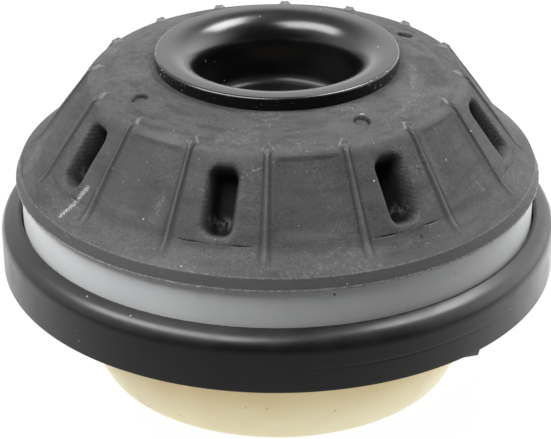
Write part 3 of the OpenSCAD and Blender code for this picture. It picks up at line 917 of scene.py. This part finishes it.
# the bearing inside keeps its solids and gets its finishes
insideFinishes = {"upper_race": steel, "lower_race": steel, "ball_cage": nylon, "inner_seal": sealBlack}
for name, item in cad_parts.items():
    isBall = name.startswith("ball_") and name[5:].isdigit()
    finish = polished if isBall else insideFinishes.get(name)
    if finish:
        item.data.materials.clear()
        item.data.materials.append(finish)
print("bearing finishes set")


# pale floor: white to the camera, with its own levels in reflections, matt otherwise and darker in front;
# near the object it glows for diffuse light as a painted bounce; it keeps the shadow
floorLook = dict(size=6.0, albedo=grey(0.22), dim=grey(0.1), glow=0.86, white=1.14,
                 mirror=(0.38, 2.1, 3.1), mirrorY=(-0.15, 0.15), mirrorX=(-0.1, 0.1),  # front, left and right
                 dimY=(-0.03, -0.15), under=1.15, underR=(118.0, 92.0), edge=(320.0, 210.0), beyond=0.25)


# rays that see the floor glow
def whiteRays(tree, path):
    seen = calc(tree, "MAXIMUM", path["Is Camera Ray"], path["Is Glossy Ray"])
    return calc(tree, "MAXIMUM", seen, path["Is Transmission Ray"])


def buildFloor():
    look = floorLook
    half = look["size"] / 2
    corners = [(-half, -half, 0), (half, -half, 0), (half, half, 0), (-half, half, 0)]
    mesh = bpy.data.meshes.new("floor")
    mesh.from_pydata(corners, [], [(0, 1, 2, 3)])
    floor = bpy.data.objects.new("floor", mesh)
    bpy.context.scene.collection.objects.link(floor)
    finish = bpy.data.materials.new("paleFloor")
    finish.use_nodes = True
    tree = finish.node_tree
    tree.nodes.clear()
    coord = tree.nodes.new("ShaderNodeTexCoord").outputs["Object"]
    path = put(tree, "ShaderNodeLightPath").outputs
    x, y = put(tree, "ShaderNodeSeparateXYZ", None, {0: coord}).outputs[:2]
    shade = blendColor(tree, fade(tree, y, *look["dimY"]), look["albedo"], look["dim"])
    matt = put(tree, "ShaderNodeBsdfDiffuse", None, {"Color": shade})
    front, left, right = look["mirror"]  # reflections see a darker floor on the camera's side
    behind = between(tree, fade(tree, x, *look["mirrorX"]), left, right)
    mirrored = between(tree, fade(tree, y, *look["mirrorY"]), front, behind)
    place = use(tree, polar, coord)
    close = between(tree, fade(tree, place["Radius"], *look["edge"]), look["beyond"], 1.0)
    mirrored = times(tree, mirrored, close)  # and a darker one further away
    level = put(tree, "ShaderNodeMix", None, {0: path["Is Glossy Ray"], 2: look["white"], 3: mirrored})
    glow = put(tree, "ShaderNodeEmission", None, {"Color": level.outputs[0]})
    # near the object the floor glows for diffuse light only, a painted bounce that lights the object from
    # below
    near = times(tree, fade(tree, place["Radius"], *look["underR"]), look["under"])
    bounce = put(tree, "ShaderNodeEmission", None, {"Color": times(tree, near, path["Is Diffuse Ray"])})
    lit = put(tree, "ShaderNodeAddShader", None, {0: matt.outputs[0], 1: bounce.outputs[0]})
    share = times(tree, whiteRays(tree, path), look["glow"])
    both = put(tree, "ShaderNodeMixShader", None, {0: share, 1: lit.outputs[0], 2: glow.outputs[0]})
    under = put(tree, "ShaderNodeNewGeometry").outputs["Backfacing"]  # clear from below
    clear = put(tree, "ShaderNodeBsdfTransparent")
    seen = put(tree, "ShaderNodeMixShader", None, {0: under, 1: both.outputs[0], 2: clear.outputs[0]})
    put(tree, "ShaderNodeOutputMaterial", None, {"Surface": seen.outputs[0]})
    mesh.materials.append(finish)


# soft boxes: place, width and depth in metres, turn in degrees and brightness
aim = (0.0, 0.0, 0.06)
boxes = dict(
    overRight=dict(at=(0.5, 0.26, 1.03), size=(0.5, 0.46), turn=0, level=14.0),
    overLeft=dict(at=(-0.52, -0.23, 1.0), size=(1.1, 0.46), turn=24, level=10.0),
)
# light of the room by direction, darkest on the camera's side; matt surfaces get a share of it
roomLight = dict(front=0.06, left=0.95, right=2.4, back=1.15, top=0.3, matt=0.7,
                 darkTurn=10, dark=(-0.8, 0.1), sideX=(-0.2, 0.2), sideFrom=(0.3, 0.85), topZ=(0.4, 0.8))


def buildLight():
    for name, box in boxes.items():
        lamp = bpy.data.lights.new(name, "AREA")
        lamp.shape = "RECTANGLE"
        lamp.size, lamp.size_y = box["size"]
        lamp.energy = box["level"] * math.pi * lamp.size * lamp.size_y
        item = bpy.data.objects.new(name, lamp)
        bpy.context.scene.collection.objects.link(item)
        item.location = box["at"]
        toward = item.location - Vector(aim)
        spin = Quaternion((0.0, 0.0, 1.0), math.radians(box["turn"]))
        item.rotation_euler = (toward.to_track_quat("Z", "Y") @ spin).to_euler()
    world = bpy.data.worlds.new("studio")
    bpy.context.scene.world = world
    world.use_nodes = True
    tree = world.node_tree
    coord = tree.nodes.new("ShaderNodeTexCoord").outputs["Generated"]
    x, y, z = put(tree, "ShaderNodeSeparateXYZ", None, {0: coord}).outputs
    side = between(tree, fade(tree, x, *roomLight["sideX"]), roomLight["left"], roomLight["right"])
    sideways = fade(tree, calc(tree, "ABSOLUTE", x), *roomLight["sideFrom"])
    around = between(tree, sideways, roomLight["back"], side)
    turn = math.radians(roomLight["darkTurn"])
    away = calc(tree, "SUBTRACT", times(tree, y, math.cos(turn)), times(tree, x, math.sin(turn)))
    room = between(tree, fade(tree, away, *roomLight["dark"]), roomLight["front"], around)
    room = times(tree, room, between(tree, fade(tree, z, *roomLight["topZ"]), 1.0, roomLight["top"]))
    path = put(tree, "ShaderNodeLightPath").outputs
    room = times(tree, room, between(tree, path["Is Diffuse Ray"], 1.0, roomLight["matt"]))
    seen = calc(tree, "MAXIMUM", path["Is Camera Ray"], path["Is Transmission Ray"])
    tree.links.new(between(tree, seen, room, 1.0), tree.nodes["Background"].inputs["Strength"])
    tree.nodes["Background"].inputs["Color"].default_value = (1, 1, 1, 1)


# camera from the photograph's perspective: mm, degrees and pixels of a 551 wide frame
shot = dict(elevation=27.593, distance=532.0, focal=1952.6, frameW=551, targetZ=38.7, aside=-0.53,
            roll=-0.191)


def buildCamera():
    lift, roll = math.radians(shot["elevation"]), math.radians(shot["roll"])
    right = np.array([1.0, 0.0, 0.0])
    ahead = np.array([0.0, math.cos(lift), -math.sin(lift)])
    up = np.cross(right, ahead)
    eye = (np.array([shot["aside"], 0.0, shot["targetZ"]]) - ahead * shot["distance"]) * mm
    sideways = math.cos(roll) * right + math.sin(roll) * up
    upright = math.cos(roll) * up - math.sin(roll) * right
    camera = bpy.data.cameras.new("camera")
    camera.sensor_fit, camera.sensor_width = "HORIZONTAL", 36.0
    camera.lens = camera.sensor_width * shot["focal"] / shot["frameW"]
    camera.clip_start = 0.01
    item = bpy.data.objects.new("camera", camera)
    bpy.context.scene.collection.objects.link(item)
    rows = np.eye(4)
    rows[:3, 0], rows[:3, 1], rows[:3, 2], rows[:3, 3] = sideways, upright, -ahead, eye
    item.matrix_world = Matrix(rows.tolist())
    bpy.context.scene.camera = item


buildFloor()
buildLight()
buildCamera()
bpy.context.scene.view_settings.view_transform = "Standard"
print("floor, light and camera set")
